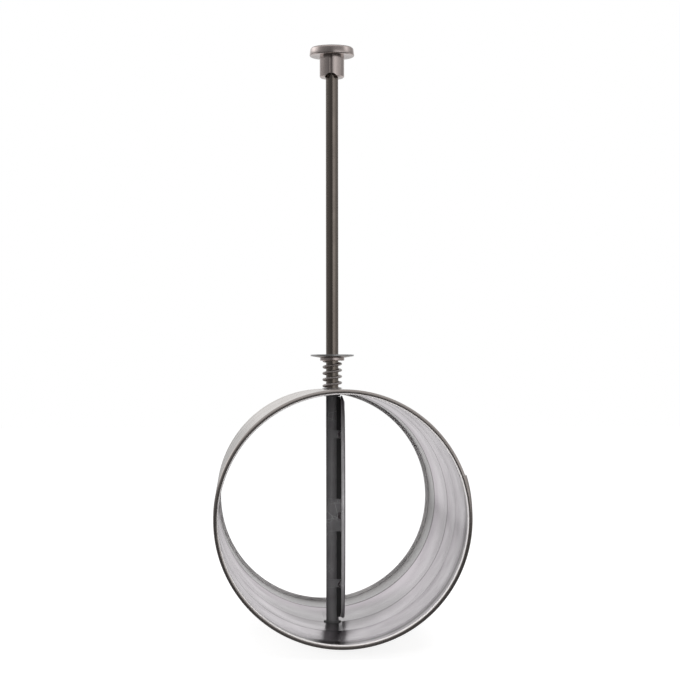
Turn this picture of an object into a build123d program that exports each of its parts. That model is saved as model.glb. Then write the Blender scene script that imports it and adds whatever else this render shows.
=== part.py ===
from build123d import *

import os
from math import cos, radians, sin, sqrt

# Volume control damper: a round duct sleeve with a butterfly blade on a sprung spindle.
#
# Millimetres. +Z runs up the spindle, +Y runs along the duct from its front end to its rear end,
# and the origin is where the spindle's axis crosses the duct's axis.

os.makedirs("parts", exist_ok=True)

# ---------------------------------------------------------------- fits
turning_gap = 0.05  # radial, shaft in bush
push_gap = 0.05  # radial, pieces pushed together on one spindle
stack_gap = 0.05  # between two flat faces that slide on each other

# ---------------------------------------------------------------- sleeve
sleeve_radius = 75.0
sleeve_wall = 1.0
sleeve_length = 250.0
bead_radius = 1.5  # rolled edge at each end, turned inwards
groove_places = (-92.0, -46.0, 0.0, 79.0)  # along the duct
groove_half_width = 1.3
groove_depth = 0.6
bead_sides = 8
lap_edge = 19.5  # degrees above the right-hand side, where the sheet's outer end stands proud
lap_root = 5.0  # degrees, where it has come down to the round
lap_tail = 3.0  # degrees, where it ends inside the wall
lap_step = 0.3
lap_bite = 0.1  # of the lap's outer end into the wall under it

# ---------------------------------------------------------------- spindle
spindle_radius = 4.0
rest_turn = -2.9  # degrees that the open blade stands off the duct's axis
stud_radius = 2.5
stud_length = 9.0
socket_depth = 10.0
tip_chamfer = 0.8

# ---------------------------------------------------------------- bushes in the sleeve
bush_radius = 5.5
bush_flange_radius = 7.0
bush_flange = 1.0
bush_proud = 0.2  # spigot end past the other side of the wall
bush_chamfer = 0.2

# ---------------------------------------------------------------- washers and clips
thrust_washer_radius = 6.2
thrust_washer_thick = 0.6
shaft_collar_radius = 5.2
shaft_collar_thick = 1.0
seat_washer_radius = 6.4
seat_washer_thick = 0.4
bottom_washer_radius = 7.0
bottom_washer_thick = 0.6
clip_groove_radius = 3.2
clip_radius = 6.0
clip_thick = 0.7
clip_mouth = 5.0
clip_relief_radius = 0.9
clip_relief_angle = 120.0  # from the mouth, to each side
shaft_tail = 2.8  # past the bottom clip

# ---------------------------------------------------------------- spring and its stop
wire_radius = 0.8
wire_sides = 8
spring_radius = 5.5  # to the middle of the wire
spring_length = 17.55
spring_pitch = 4.03
ground_turns = 0.35  # of wire that each ground end takes away
collar_radius = 7.85
collar_thick = 2.0
collar_spigot_radius = 5.2
collar_chamfer = 0.3
plate_radius = 13.9
plate_thick = 0.9
plate_flat_radius = 8.5
plate_dish = 0.9
cross_pin_radius = 0.75
cross_pin_short = 0.3  # each end below the collar's rim

# ---------------------------------------------------------------- knob
knob_height = 294.5  # top of the knob above the duct's axis
knob_cap_radius = 14.4
knob_cap_thick = 5.7
knob_top_chamfer = 1.2
knob_rim_chamfer = 0.6
hub_radius = 7.9
hub_length = 13.8
hub_spigot_radius = 4.5
hub_spigot_length = 2.6
hub_chamfer = 0.8
hub_bore_stop = 2.4  # metal left above the spindle's end
slit_width = 1.0
slit_depth = 2.2
slit_chamfer = 0.4
slit_turn = -4.6  # degrees from the blade's own direction
notch_height = 2.4
notch_half_width = 4.05
grub_radius = 2.0
grub_socket_radius = 1.1
grub_socket_depth = 1.8
grub_height = 6.0  # above the hub's lower end

# ---------------------------------------------------------------- blade
blade_gap = 3.0  # between the blade's edge and the wall
blade_bead_radius = 1.15
blade_offset = 6.55  # from the spindle's axis to the middle of the blade
blade_sheet = 1.0
swage_inset = 10.0  # from the blade's edge to the pressed ring
swage_half_width = 3.0
swage_depth = 0.9
blade_bead_sides = 8
blade_clip_height = 4.0
blade_clip_depth = 1.5

# ---------------------------------------------------------------- saddles and packing strip
saddle_sheet = 0.8
saddle_foot_reach = 15.0
saddle_bend = 0.6
saddle_corner = 1.6
small_saddle_width = 5.0
upper_saddle_inset = 25.0  # from the blade's edge
lower_saddle_inset = 22.0
centre_saddle_width = 20.6
centre_saddle_height = -5.5
rivet_place = 10.0  # to each side of the spindle
rivet_radius = 1.5
rivet_head_radius = 2.4
rivet_head_height = 1.6
rivet_head_chamfer = 1.1
rivet_tail_radius = 2.2
rivet_tail_height = 0.6
strip_half_width = 3.0
strip_top_gap = 0.2  # under the shaft's collar
strip_bottom_inset = 0.5  # from the blade's edge
strip_bead_gap = 0.1  # to the blade's rolled edge

# ---------------------------------------------------------------- sizes that follow
wall_inside = sleeve_radius - sleeve_wall
half_length = sleeve_length / 2
bush_bore = spindle_radius + turning_gap
hole_radius = bush_radius + push_gap

ridge_radius = wall_inside - groove_depth
top_bush_flange_top = sqrt(ridge_radius**2 - bush_flange_radius**2) - stack_gap
top_bush_flange_bottom = top_bush_flange_top - bush_flange
top_bush_end = sleeve_radius + bush_proud
thrust_top = top_bush_flange_bottom - stack_gap
shaft_top = thrust_top - thrust_washer_thick

bottom_bush_end = -top_bush_flange_top
bottom_bush_flange_top = -sleeve_radius - stack_gap
bottom_bush_bottom = bottom_bush_flange_top - bush_flange
bottom_washer_top = bottom_bush_bottom - stack_gap
clip_top = bottom_washer_top - bottom_washer_thick - stack_gap
shaft_bottom = clip_top - clip_thick - shaft_tail

seat_washer_bottom = top_bush_end + stack_gap
spring_bottom = seat_washer_bottom + seat_washer_thick
spring_top = spring_bottom + spring_length
collar_top = spring_top + collar_thick
cross_pin_height = spring_top + collar_thick / 2

cap_bottom = knob_height - knob_cap_thick
hub_bottom = cap_bottom - hub_length
rod_top = cap_bottom - hub_bore_stop

blade_radius = wall_inside - blade_gap
swage_ring_radius = blade_radius - swage_inset
upper_saddle_height = blade_radius - upper_saddle_inset
lower_saddle_height = lower_saddle_inset - blade_radius
strip_top = shaft_top - shaft_collar_thick - strip_top_gap
strip_bottom = strip_bottom_inset - blade_radius

blade_face = blade_offset - blade_sheet / 2  # the side that faces the spindle
blade_back = blade_offset + blade_sheet / 2
strip_end_face = blade_offset - blade_bead_radius - strip_bead_gap
foot_face = blade_face - saddle_sheet
neck_radius = spindle_radius - saddle_sheet


def upright_plane(turn):
    """The upright plane through the spindle that faces the duct's front, turned by degrees."""
    across = Vector(cos(radians(turn)), sin(radians(turn)), 0)
    return Plane(origin=(0, 0, 0), x_dir=across, z_dir=across.cross(Vector(0, 0, 1)))


# planes that turn with the spindle: across it, upright edge-on to the blade, and facing the blade
upright = upright_plane(rest_turn)
blade_normal = upright.x_dir
blade_chord = -upright.z_dir
level = Plane(origin=(0, 0, 0), x_dir=blade_normal, z_dir=(0, 0, 1))
facing = Plane(origin=(0, 0, 0), x_dir=blade_chord, z_dir=blade_normal)
blade_axis = Axis((0, 0, 0), blade_normal)


def ring(outer, inner, bottom, thick):
    """A flat washer about the spindle, in the part that is being built."""
    with BuildSketch(Plane.XY.offset(bottom)) as washer:
        Circle(outer)
        Circle(inner, mode=Mode.SUBTRACT)
    extrude(washer.sketch, amount=thick)


def save(part, name):
    """Label a finished sub-part and write its STEP file."""
    part.label = name
    export_step(part, f"parts/{name}.step")


# ================================================================ duct body
bead_centre = half_length - bead_radius


def sheet_line(radius):
    """One face of the rolled sheet along the duct, from bead to bead, with its grooves."""
    points = [(radius, -bead_centre)]
    for place in groove_places:
        points.append((radius, place - groove_half_width))
        points.append((radius - groove_depth, place))
        points.append((radius, place + groove_half_width))
    return points + [(radius, bead_centre)]


with BuildPart() as sleeve:
    with BuildSketch(Plane.XY):
        with BuildLine():
            Polyline(*sheet_line(sleeve_radius), *reversed(sheet_line(wall_inside)), close=True)
        make_face()
        with Locations((sleeve_radius - bead_radius, bead_centre), (sleeve_radius - bead_radius, -bead_centre)):
            RegularPolygon(bead_radius, bead_sides, major_radius=False, rotation=180 / bead_sides)
    revolve(axis=Axis.Y)
    lap_shift = lap_step / sin(radians(lap_edge - lap_root))
    lap_centre = Vector(-sin(radians(lap_root)), 0, cos(radians(lap_root))) * lap_shift
    lap_plane = Plane(
        origin=lap_centre,
        x_dir=(cos(radians(lap_edge)), 0, sin(radians(lap_edge))),
        z_dir=(-sin(radians(lap_edge)), 0, cos(radians(lap_edge))),
    )
    with BuildSketch(lap_plane):
        with BuildLine():
            lap_outside = sheet_line(sleeve_radius)
            lap_inside = sheet_line(sleeve_radius - lap_step - lap_bite)
            Polyline(*lap_outside, *reversed(lap_inside), close=True)
        make_face()
    revolve(axis=Axis(lap_centre, (0, 1, 0)), revolution_arc=lap_edge - lap_tail)
    with BuildSketch(Plane.XY):
        Circle(hole_radius)
    extrude(amount=2 * sleeve_radius, both=True, mode=Mode.SUBTRACT)
save(sleeve.part, "sleeve")

with BuildPart() as top_bush:
    ring(bush_flange_radius, bush_bore, top_bush_flange_bottom, bush_flange)
    ring(bush_radius, bush_bore, top_bush_flange_top, top_bush_end - top_bush_flange_top)
    chamfer(top_bush.edges().filter_by(GeomType.CIRCLE).group_by(Axis.Z)[0], bush_chamfer)
save(top_bush.part, "top_bush")

with BuildPart() as bottom_bush:
    ring(bush_flange_radius, bush_bore, bottom_bush_bottom, bush_flange)
    ring(bush_radius, bush_bore, bottom_bush_flange_top, bottom_bush_end - bottom_bush_flange_top)
    chamfer(bottom_bush.edges().filter_by(GeomType.CIRCLE).group_by(Axis.Z)[0], bush_chamfer)
save(bottom_bush.part, "bottom_bush")

# ================================================================ spring seat body
with BuildPart() as seat_washer:
    ring(seat_washer_radius, bush_bore, seat_washer_bottom, seat_washer_thick)
save(seat_washer.part, "seat_washer")

with BuildPart() as spring:
    overrun = ground_turns * spring_pitch
    with BuildLine() as coil:
        Helix(spring_pitch, spring_length + 2 * overrun - 2 * wire_radius, spring_radius,
              center=(0, 0, spring_bottom - overrun + wire_radius))
    with BuildSketch(Plane(origin=coil.line @ 0, z_dir=coil.line % 0)):
        RegularPolygon(wire_radius, wire_sides)
    sweep(path=coil.line, is_frenet=True)
    split(bisect_by=Plane.XY.offset(spring_bottom), keep=Keep.TOP)
    split(bisect_by=Plane.XY.offset(spring_top), keep=Keep.BOTTOM)
save(spring.part, "spring")

# ================================================================ spindle body: shaft and rod
with BuildPart() as blade_shaft:
    with BuildSketch(Plane.XY.offset(shaft_bottom)):
        Circle(spindle_radius)
    extrude(amount=shaft_top - shaft_bottom)
    chamfer(blade_shaft.faces().sort_by(Axis.Z)[0].edges(), tip_chamfer)
    with BuildSketch(Plane.XY.offset(shaft_top)):
        Circle(shaft_collar_radius)
    extrude(amount=-shaft_collar_thick)
    saddle_seats = (
        (upper_saddle_height, small_saddle_width),
        (centre_saddle_height, centre_saddle_width),
        (lower_saddle_height, small_saddle_width),
    )
    for height, width in saddle_seats:
        with BuildSketch(Plane.XY.offset(height - width / 2 - push_gap)):
            Circle(spindle_radius + push_gap)
            Circle(neck_radius, mode=Mode.SUBTRACT)
        extrude(amount=width + 2 * push_gap, mode=Mode.SUBTRACT)
    with BuildSketch(Plane.XY.offset(clip_top - clip_thick - push_gap)):
        Circle(spindle_radius + push_gap)
        Circle(clip_groove_radius, mode=Mode.SUBTRACT)
    extrude(amount=clip_thick + 2 * push_gap, mode=Mode.SUBTRACT)
    with BuildSketch(Plane.XY.offset(shaft_top)):
        Circle(stud_radius + push_gap)
    extrude(amount=-socket_depth, mode=Mode.SUBTRACT)
save(blade_shaft.part, "blade_shaft")

with BuildPart() as rod:
    with BuildSketch(Plane.XY.offset(shaft_top)):
        Circle(spindle_radius)
    extrude(amount=rod_top - shaft_top)
    chamfer(rod.faces().sort_by(Axis.Z)[-1].edges(), tip_chamfer)
    with BuildSketch(Plane.XY.offset(shaft_top)):
        Circle(stud_radius)
    extrude(amount=-stud_length)
    with BuildSketch(facing):
        with Locations((0, cross_pin_height)):
            Circle(cross_pin_radius + push_gap)
    extrude(amount=spindle_radius + push_gap, both=True, mode=Mode.SUBTRACT)
save(rod.part, "rod")

with BuildPart() as thrust_washer:
    ring(thrust_washer_radius, bush_bore, shaft_top, thrust_washer_thick)
save(thrust_washer.part, "thrust_washer")

with BuildPart() as bottom_washer:
    ring(bottom_washer_radius, bush_bore, bottom_washer_top - bottom_washer_thick, bottom_washer_thick)
save(bottom_washer.part, "bottom_washer")

with BuildPart() as bottom_clip:
    with BuildSketch(level.offset(clip_top - clip_thick)):
        Circle(clip_radius)
        Circle(clip_groove_radius + push_gap, mode=Mode.SUBTRACT)
        with Locations((clip_radius, 0)):
            Rectangle(2 * clip_radius, clip_mouth, mode=Mode.SUBTRACT)
        for angle in (-clip_relief_angle, clip_relief_angle):
            with PolarLocations(clip_groove_radius + clip_relief_radius, 1, start_angle=angle):
                Circle(clip_relief_radius, mode=Mode.SUBTRACT)
    extrude(amount=clip_thick)
save(bottom_clip.part, "bottom_clip")

# ================================================================ spindle body: spring stop
with BuildPart() as spring_collar:
    with BuildSketch(Plane.XY.offset(spring_top)):
        Circle(collar_radius)
    extrude(amount=collar_thick)
    chamfer(spring_collar.edges().filter_by(GeomType.CIRCLE), collar_chamfer)
    with BuildSketch(Plane.XY.offset(collar_top)):
        Circle(collar_spigot_radius)
    extrude(amount=plate_thick)
    with BuildSketch(Plane.XY.offset(spring_top)):
        Circle(bush_bore)
    extrude(amount=collar_thick + plate_thick, mode=Mode.SUBTRACT)
    with BuildSketch(facing):
        with Locations((0, cross_pin_height)):
            Circle(cross_pin_radius + push_gap)
    extrude(amount=2 * collar_radius, both=True, mode=Mode.SUBTRACT)
save(spring_collar.part, "spring_collar")

with BuildPart() as spring_plate:
    plate_bore = collar_spigot_radius + push_gap
    with BuildSketch(Plane.XZ):
        with BuildLine():
            Polyline(
                (plate_bore, collar_top),
                (plate_flat_radius, collar_top),
                (plate_radius, collar_top + plate_dish),
                (plate_radius, collar_top + plate_dish + plate_thick),
                (plate_flat_radius, collar_top + plate_thick),
                (plate_bore, collar_top + plate_thick),
                close=True,
            )
        make_face()
    revolve(axis=Axis.Z)
save(spring_plate.part, "spring_plate")

with BuildPart() as cross_pin:
    pin_half = collar_radius - cross_pin_short
    with BuildSketch(facing.offset(-pin_half)):
        with Locations((0, cross_pin_height)):
            Circle(cross_pin_radius)
    extrude(amount=2 * pin_half)
save(cross_pin.part, "cross_pin")

# ================================================================ spindle body: knob
with BuildPart() as knob_hub:
    with BuildSketch(Plane.XY.offset(hub_bottom)):
        Circle(hub_radius)
    extrude(amount=hub_length)
    chamfer(knob_hub.faces().sort_by(Axis.Z)[0].edges(), hub_chamfer)
    with BuildSketch(Plane.XY.offset(cap_bottom)):
        Circle(hub_spigot_radius)
    extrude(amount=hub_spigot_length)
    with BuildSketch(Plane.XY.offset(hub_bottom)):
        Circle(spindle_radius + push_gap)
    extrude(amount=rod_top - hub_bottom, mode=Mode.SUBTRACT)
    front = upright_plane(rest_turn + slit_turn)
    with BuildSketch(front.offset(hub_radius - slit_depth)):
        with Locations((0, hub_bottom)):
            Rectangle(slit_width, hub_length, align=(Align.CENTER, Align.MIN))
    extrude(amount=2 * slit_depth, mode=Mode.SUBTRACT)
    mouth_edges = knob_hub.edges().filter_by(Axis.Z).group_by(Axis((0, 0, 0), front.z_dir))[-1]
    chamfer(mouth_edges, slit_chamfer)
    notch_radius = (notch_half_width**2 + notch_height**2) / (2 * notch_height)
    with BuildSketch(front):
        with Locations((0, hub_bottom + notch_height - notch_radius)):
            Circle(notch_radius)
    extrude(amount=2 * hub_radius, mode=Mode.SUBTRACT)
    with BuildSketch(upright):
        with Locations((0, hub_bottom + grub_height)):
            Circle(grub_radius + push_gap)
    extrude(amount=-2 * hub_radius, mode=Mode.SUBTRACT)
save(knob_hub.part, "knob_hub")

with BuildPart() as knob_cap:
    with BuildSketch(Plane.XY.offset(cap_bottom)):
        Circle(knob_cap_radius)
    extrude(amount=knob_cap_thick)
    chamfer(knob_cap.faces().sort_by(Axis.Z)[-1].edges(), knob_top_chamfer)
    chamfer(knob_cap.faces().sort_by(Axis.Z)[0].edges(), knob_rim_chamfer)
    with BuildSketch(Plane.XY.offset(cap_bottom)):
        Circle(hub_spigot_radius + push_gap)
    extrude(amount=hub_spigot_length + push_gap, mode=Mode.SUBTRACT)
save(knob_cap.part, "knob_cap")

with BuildPart() as knob_grub:
    with BuildSketch(upright.offset(-hub_radius)):
        with Locations((0, hub_bottom + grub_height)):
            Circle(grub_radius)
    extrude(amount=hub_radius - spindle_radius - push_gap)
    with BuildSketch(upright.offset(-hub_radius)):
        with Locations((0, hub_bottom + grub_height)):
            RegularPolygon(grub_socket_radius, 6)
    extrude(amount=grub_socket_depth, mode=Mode.SUBTRACT)
save(knob_grub.part, "knob_grub")

# ================================================================ spindle body: blade
def rivet_spots(heights):
    """Rivet centres on the blade's facing plane, on both sides of the shaft."""
    return [(side * rivet_place, height) for side in (-1, 1) for height in heights]


all_rivets = rivet_spots([upper_saddle_height, centre_saddle_height, lower_saddle_height])


def drill_rivet_holes():
    """The rivets' holes through what is being built."""
    with BuildSketch(facing) as holes:
        with Locations(all_rivets):
            Circle(rivet_radius + push_gap)
    extrude(holes.sketch, amount=2 * blade_offset, mode=Mode.SUBTRACT)


with BuildPart() as blade:
    with BuildSketch(upright):
        with BuildLine():
            pressing = (
                (0, 0),
                (0, swage_ring_radius - swage_half_width),
                (swage_depth, swage_ring_radius),
                (0, swage_ring_radius + swage_half_width),
                (0, blade_radius - blade_bead_radius),
            )
            front = [(blade_face + rise, reach) for rise, reach in pressing]
            back = [(blade_back + rise, reach) for rise, reach in reversed(pressing)]
            Polyline(*front, *back, close=True)
        make_face()
        with Locations((blade_offset, blade_radius - blade_bead_radius)):
            RegularPolygon(blade_bead_radius, blade_bead_sides, major_radius=False, rotation=180 / blade_bead_sides)
    revolve(axis=blade_axis)
    with BuildSketch(upright):
        with BuildLine():
            edge = blade_offset + blade_bead_radius
            Polyline(
                (edge + push_gap, blade_radius - blade_clip_height),
                (edge + push_gap, blade_radius + push_gap),
                (edge - blade_clip_depth, blade_radius + push_gap),
                close=True,
            )
        make_face()
    extrude(amount=blade_radius, both=True, mode=Mode.SUBTRACT)
    drill_rivet_holes()
save(blade.part, "blade")

with BuildPart() as packing_strip:
    with BuildSketch(level.offset(strip_bottom)):
        Rectangle(blade_face, 2 * strip_half_width, align=(Align.MIN, Align.CENTER))
        Circle(spindle_radius + push_gap, mode=Mode.SUBTRACT)
    extrude(amount=strip_top - strip_bottom)
    # its ends run on under the blade's rolled edge
    with BuildSketch(facing.offset(strip_end_face)):
        Circle(blade_radius)
        Circle(blade_radius - 2 * blade_bead_radius - strip_bead_gap, mode=Mode.SUBTRACT)
    extrude(amount=blade_face - strip_end_face, mode=Mode.SUBTRACT)
save(packing_strip.part, "packing_strip")


def make_saddle(height, width):
    """A strap over the shaft's neck, flush with the shaft, with a foot on the blade at each side."""
    strap_half = neck_radius + push_gap
    strap_outer = strap_half + saddle_sheet - push_gap
    with BuildSketch(level.offset(height - width / 2)) as strap:
        Circle(strap_outer)
        Rectangle(blade_face, 2 * strap_outer, align=(Align.MIN, Align.CENTER))
        with Locations((foot_face, 0)):
            Rectangle(saddle_sheet, 2 * saddle_foot_reach, align=(Align.MIN, Align.CENTER))
        Circle(strap_half, mode=Mode.SUBTRACT)
        Rectangle(blade_face, 2 * strap_half, align=(Align.MIN, Align.CENTER), mode=Mode.SUBTRACT)
        foot_points = strap.vertices().filter_by_position(Axis.X, foot_face, foot_face)
        bend_points = foot_points.group_by(Axis.Y)[1:-1]
        fillet(bend_points[0] + bend_points[-1], saddle_bend)
    extrude(strap.sketch, amount=width)


for saddle_name, saddle_height, saddle_width in (
    ("upper_saddle", upper_saddle_height, small_saddle_width),
    ("centre_saddle", centre_saddle_height, centre_saddle_width),
    ("lower_saddle", lower_saddle_height, small_saddle_width),
):
    with BuildPart() as saddle:
        make_saddle(saddle_height, saddle_width)
        foot_corners = saddle.edges().filter_by(blade_axis).group_by(Axis((0, 0, 0), blade_chord))
        fillet(foot_corners[0] + foot_corners[-1], saddle_corner)
        drill_rivet_holes()
    save(saddle.part, saddle_name)

with BuildPart() as saddle_rivets:
    with BuildSketch(facing.offset(foot_face)):
        with Locations(all_rivets):
            Circle(rivet_radius)
    extrude(amount=blade_back - foot_face)
    with BuildSketch(facing.offset(blade_back)):
        with Locations(all_rivets):
            Circle(rivet_tail_radius)
    extrude(amount=rivet_tail_height)
    with BuildSketch(facing.offset(foot_face)):
        with Locations(all_rivets):
            Circle(rivet_head_radius)
    extrude(amount=-rivet_head_height)
    chamfer(saddle_rivets.edges().filter_by(GeomType.CIRCLE).group_by(blade_axis)[0], rivet_head_chamfer)
save(saddle_rivets.part, "saddle_rivets")
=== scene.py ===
from math import acos, asin, cos, degrees, pi, radians, sin

import bmesh
import bpy
from bpy.props import FloatProperty, FloatVectorProperty, IntProperty, PointerProperty
from mathutils import Matrix, Vector


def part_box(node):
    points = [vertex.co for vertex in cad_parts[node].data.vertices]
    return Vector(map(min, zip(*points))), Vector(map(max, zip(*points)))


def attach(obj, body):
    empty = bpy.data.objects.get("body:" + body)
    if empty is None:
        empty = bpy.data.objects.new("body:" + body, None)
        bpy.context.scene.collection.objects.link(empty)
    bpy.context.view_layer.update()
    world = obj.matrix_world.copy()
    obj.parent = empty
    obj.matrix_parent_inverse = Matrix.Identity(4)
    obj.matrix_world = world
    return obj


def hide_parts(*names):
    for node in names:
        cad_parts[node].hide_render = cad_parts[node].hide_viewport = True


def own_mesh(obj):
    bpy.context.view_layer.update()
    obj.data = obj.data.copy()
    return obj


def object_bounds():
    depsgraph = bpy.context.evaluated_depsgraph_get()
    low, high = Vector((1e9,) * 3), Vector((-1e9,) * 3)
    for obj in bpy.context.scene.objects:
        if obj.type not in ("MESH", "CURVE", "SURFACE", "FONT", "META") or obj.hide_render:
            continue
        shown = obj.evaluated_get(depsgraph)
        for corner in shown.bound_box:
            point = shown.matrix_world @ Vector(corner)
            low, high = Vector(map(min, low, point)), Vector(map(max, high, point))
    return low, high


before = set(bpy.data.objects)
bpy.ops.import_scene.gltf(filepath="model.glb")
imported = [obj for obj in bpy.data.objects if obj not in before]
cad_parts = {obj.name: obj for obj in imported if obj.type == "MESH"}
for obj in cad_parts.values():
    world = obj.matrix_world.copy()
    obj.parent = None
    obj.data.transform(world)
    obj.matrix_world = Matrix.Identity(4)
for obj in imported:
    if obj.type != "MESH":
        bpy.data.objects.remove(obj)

bl_info = {
    "name": "Volume control damper",
    "version": (1, 0, 0),
    "blender": (4, 5, 0),
    "location": "3D View > Sidebar > Damper",
    "description": "Dresses the packed model of a round duct volume control damper",
    "category": "Object",
}

MM = 0.001
FULL_TURN = 2 * pi
CAD_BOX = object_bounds()
LENGTH = {"unit": "LENGTH", "precision": 5}

# ---------------------------------------------------------------- places that the frame gives
SLEEVE_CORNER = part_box("sleeve")[1]
SLEEVE_RADIUS = SLEEVE_CORNER.z
HALF_LENGTH = SLEEVE_CORNER.y
SPRING_LOW, SPRING_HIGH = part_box("spring")
CAP_LOW, CAP_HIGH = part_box("knob_cap")
BLADE_LOW, BLADE_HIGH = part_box("blade")

# grooves rolled into the sleeve, drawn shallower than in the solids: place, depth, bend outside, and the
# grime and painted shade held to the left and to the right
GROOVES = (
    (-92 * MM, 0.06 * MM, 3.0 * MM, 0.0, 0.0),
    (-46 * MM, 0.06 * MM, 3.0 * MM, 0.9, 0.2),
    (0.0, 0.14 * MM, 3.0 * MM, 0.3, 0.8),
    (79 * MM, 0.28 * MM, 2.2 * MM, 0.6, 1.0),
)
GROOVE_CORE = 0.4 * MM  # full grime and painted shade to each side of a groove's middle
GROOVE_REACH = 3.2 * MM  # none from here
GRIME_AND_SHADE_TURN = (-20 * MM, 25 * MM)  # where the left's grime and painted shade give way to the right's

# zones of tone, painted shade and painted light on the sleeve, in its own coordinates
SKIN_FADE = (0.7 * MM, 0.4 * MM)  # under the outer face, where inside turns to outside
SIDE_SHADE_FADE = (44 * MM, 64 * MM)  # painted shade, faded in to each side on the outside
FOOT_SHADE_MIDDLE = (4 * MM, 18 * MM)  # painted shade patch round the shaft's foot: to the right, and along the duct
FOOT_SHADE_REACH = (62 * MM, 66 * MM)
FOOT_SHADE_FADE = (0.45, 1.0)  # shares of that reach
FOOT_SHADE_STRENGTH = 0.6
FOOT_SHADE_LEVEL = (-50 * MM, -60 * MM)  # heights between which it sets in
SHADE_BAND_START = (14 * MM, 11 * MM)  # painted shade band, ahead of the first groove
SHADE_BAND_END = (7 * MM, 4 * MM)
FAR_SHADE_FADE = 1 * MM  # painted shade past the last groove, faded over this to each side of it
RIM_FADE = (3.2 * MM, 4.0 * MM)  # in from each end: painted shade on the front rim, painted light on the rear one
LIP_FADE = (2.6 * MM, 2.0 * MM)  # under the outer face, where the front bead's lip gets painted light

# directions that turn with the spindle: the open blade stands a little off the duct's axis
REST_TURN = radians(-2.9)
ACROSS_BLADE = Vector((cos(REST_TURN), sin(REST_TURN), 0))
UP = Vector((0, 0, 1))
DUCT = Vector((0, 1, 0))
CENTRE = Vector((0, 0, 0))


# ================================================================ settings
class SleeveSettings(bpy.types.PropertyGroup):
    """Sizes and colour of the rolled sleeve"""

    wall: FloatProperty(name="Wall", description="Sheet thickness", default=1.0 * MM, **LENGTH)
    bead: FloatProperty(
        name="Bead radius", description="Radius of the rolled edges", default=1.5 * MM, **LENGTH
    )
    hole: FloatProperty(name="Bush hole", description="Radius of the bush holes", default=5.55 * MM, **LENGTH)
    lap: FloatProperty(name="Lap step", description="Height of the lapped edge", default=0.8 * MM, **LENGTH)
    steps: IntProperty(name="Steps", description="Facets around the sleeve", default=240, min=24)
    inside_colour: FloatVectorProperty(
        name="Inside colour", description="Colour of the sheet inside",
        subtype="COLOR", default=(0.5, 0.45, 0.495),
    )
    outside_colour: FloatVectorProperty(
        name="Outside colour", description="Colour of the sheet outside",
        subtype="COLOR", default=(0.5, 0.46, 0.43),
    )
    # front rolled edge made darker than the sheet: painted shade
    rim_shade_colour: FloatVectorProperty(
        name="Rim colour", description="Colour of the rolled edges",
        subtype="COLOR", default=(0.36, 0.325, 0.31),
    )


class SpindleSettings(bpy.types.PropertyGroup):
    """Sizes and colours of the spring and the turned pieces on the spindle"""

    wire: FloatProperty(
        name="Wire radius", description="Radius of the spring wire", default=0.8 * MM, **LENGTH
    )
    coil: FloatProperty(
        name="Coil radius", description="To the middle of the wire", default=5.5 * MM, **LENGTH
    )
    pitch: FloatProperty(
        name="Pitch", description="Rise of the spring in one turn", default=4.03 * MM, **LENGTH
    )
    top_round: FloatProperty(
        name="Top round", description="Round on the knob's top", default=1.2 * MM, **LENGTH
    )
    rim_round: FloatProperty(
        name="Rim round", description="Round under the knob's rim", default=0.9 * MM, **LENGTH
    )
    crown: FloatProperty(name="Crown", description="Rise of the knob's top", default=0.15 * MM, **LENGTH)
    draft: FloatProperty(name="Draft", description="How far the rim leans in", default=0.45 * MM, **LENGTH)
    rod_colour: FloatVectorProperty(
        name="Rod colour", description="Colour of the drawn bar",
        subtype="COLOR", default=(0.225, 0.195, 0.172),
    )
    knob_colour: FloatVectorProperty(
        name="Knob colour", description="Colour of the turned knob",
        subtype="COLOR", default=(0.52, 0.455, 0.435),
    )
    spring_colour: FloatVectorProperty(
        name="Spring colour", description="Colour of the spring wire",
        subtype="COLOR", default=(0.40, 0.37, 0.36),
    )
    coating_colour: FloatVectorProperty(
        name="Coating colour", description="Colour of the coated shaft",
        subtype="COLOR", default=(0.082, 0.08, 0.082),
    )


class BladeSettings(bpy.types.PropertyGroup):
    """Sizes and colours of the blade and what holds it"""

    offset: FloatProperty(name="Offset", description="From spindle to blade", default=6.55 * MM, **LENGTH)
    sheet: FloatProperty(name="Sheet", description="Thickness of the blade", default=1.0 * MM, **LENGTH)
    bead: FloatProperty(
        name="Bead radius", description="Radius of the blade's rolled edge", default=1.15 * MM, **LENGTH
    )
    ring_inset: FloatProperty(
        name="Ring inset", description="From the edge to the pressed ring", default=10 * MM, **LENGTH
    )
    ring_width: FloatProperty(
        name="Ring half width", description="Half the pressed ring", default=3 * MM, **LENGTH
    )
    ring_depth: FloatProperty(
        name="Ring depth", description="Depth of the pressed ring", default=0.9 * MM, **LENGTH
    )
    colour: FloatVectorProperty(
        name="Blade colour", description="Colour of the blade",
        subtype="COLOR", default=(0.34, 0.335, 0.34),
    )
    packing_colour: FloatVectorProperty(
        name="Packing colour", description="Colour of the packing strip",
        subtype="COLOR", default=(0.012, 0.012, 0.012),
    )


# ================================================================ shader node groups
def add_node(tree, kind, **values):
    """A node in a tree, with its properties set by name and its inputs by a dictionary."""
    node = tree.nodes.new(kind)
    inputs = values.pop("inputs", {})
    for name, value in values.items():
        setattr(node, name, value)
    for name, value in inputs.items():
        if isinstance(value, bpy.types.NodeSocket):
            tree.links.new(value, node.inputs[name])
        else:
            node.inputs[name].default_value = value
    return node


def new_group(name, inputs, outputs):
    """An empty shader node group with its sockets, and its two end nodes."""
    tree = bpy.data.node_groups.new(name, "ShaderNodeTree")
    for socket, kind, default in inputs:
        made = tree.interface.new_socket(socket, in_out="INPUT", socket_type=kind)
        if default is not None:
            made.default_value = default
    for socket, kind in outputs:
        tree.interface.new_socket(socket, in_out="OUTPUT", socket_type=kind)
    return tree, tree.nodes.new("NodeGroupInput"), tree.nodes.new("NodeGroupOutput")


def noise(tree, place, scale, detail, **more):
    """The value of a noise texture."""
    inputs = {"Vector": place, "Scale": scale, "Detail": detail, **more}
    return add_node(tree, "ShaderNodeTexNoise", inputs=inputs).outputs["Fac"]


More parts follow.
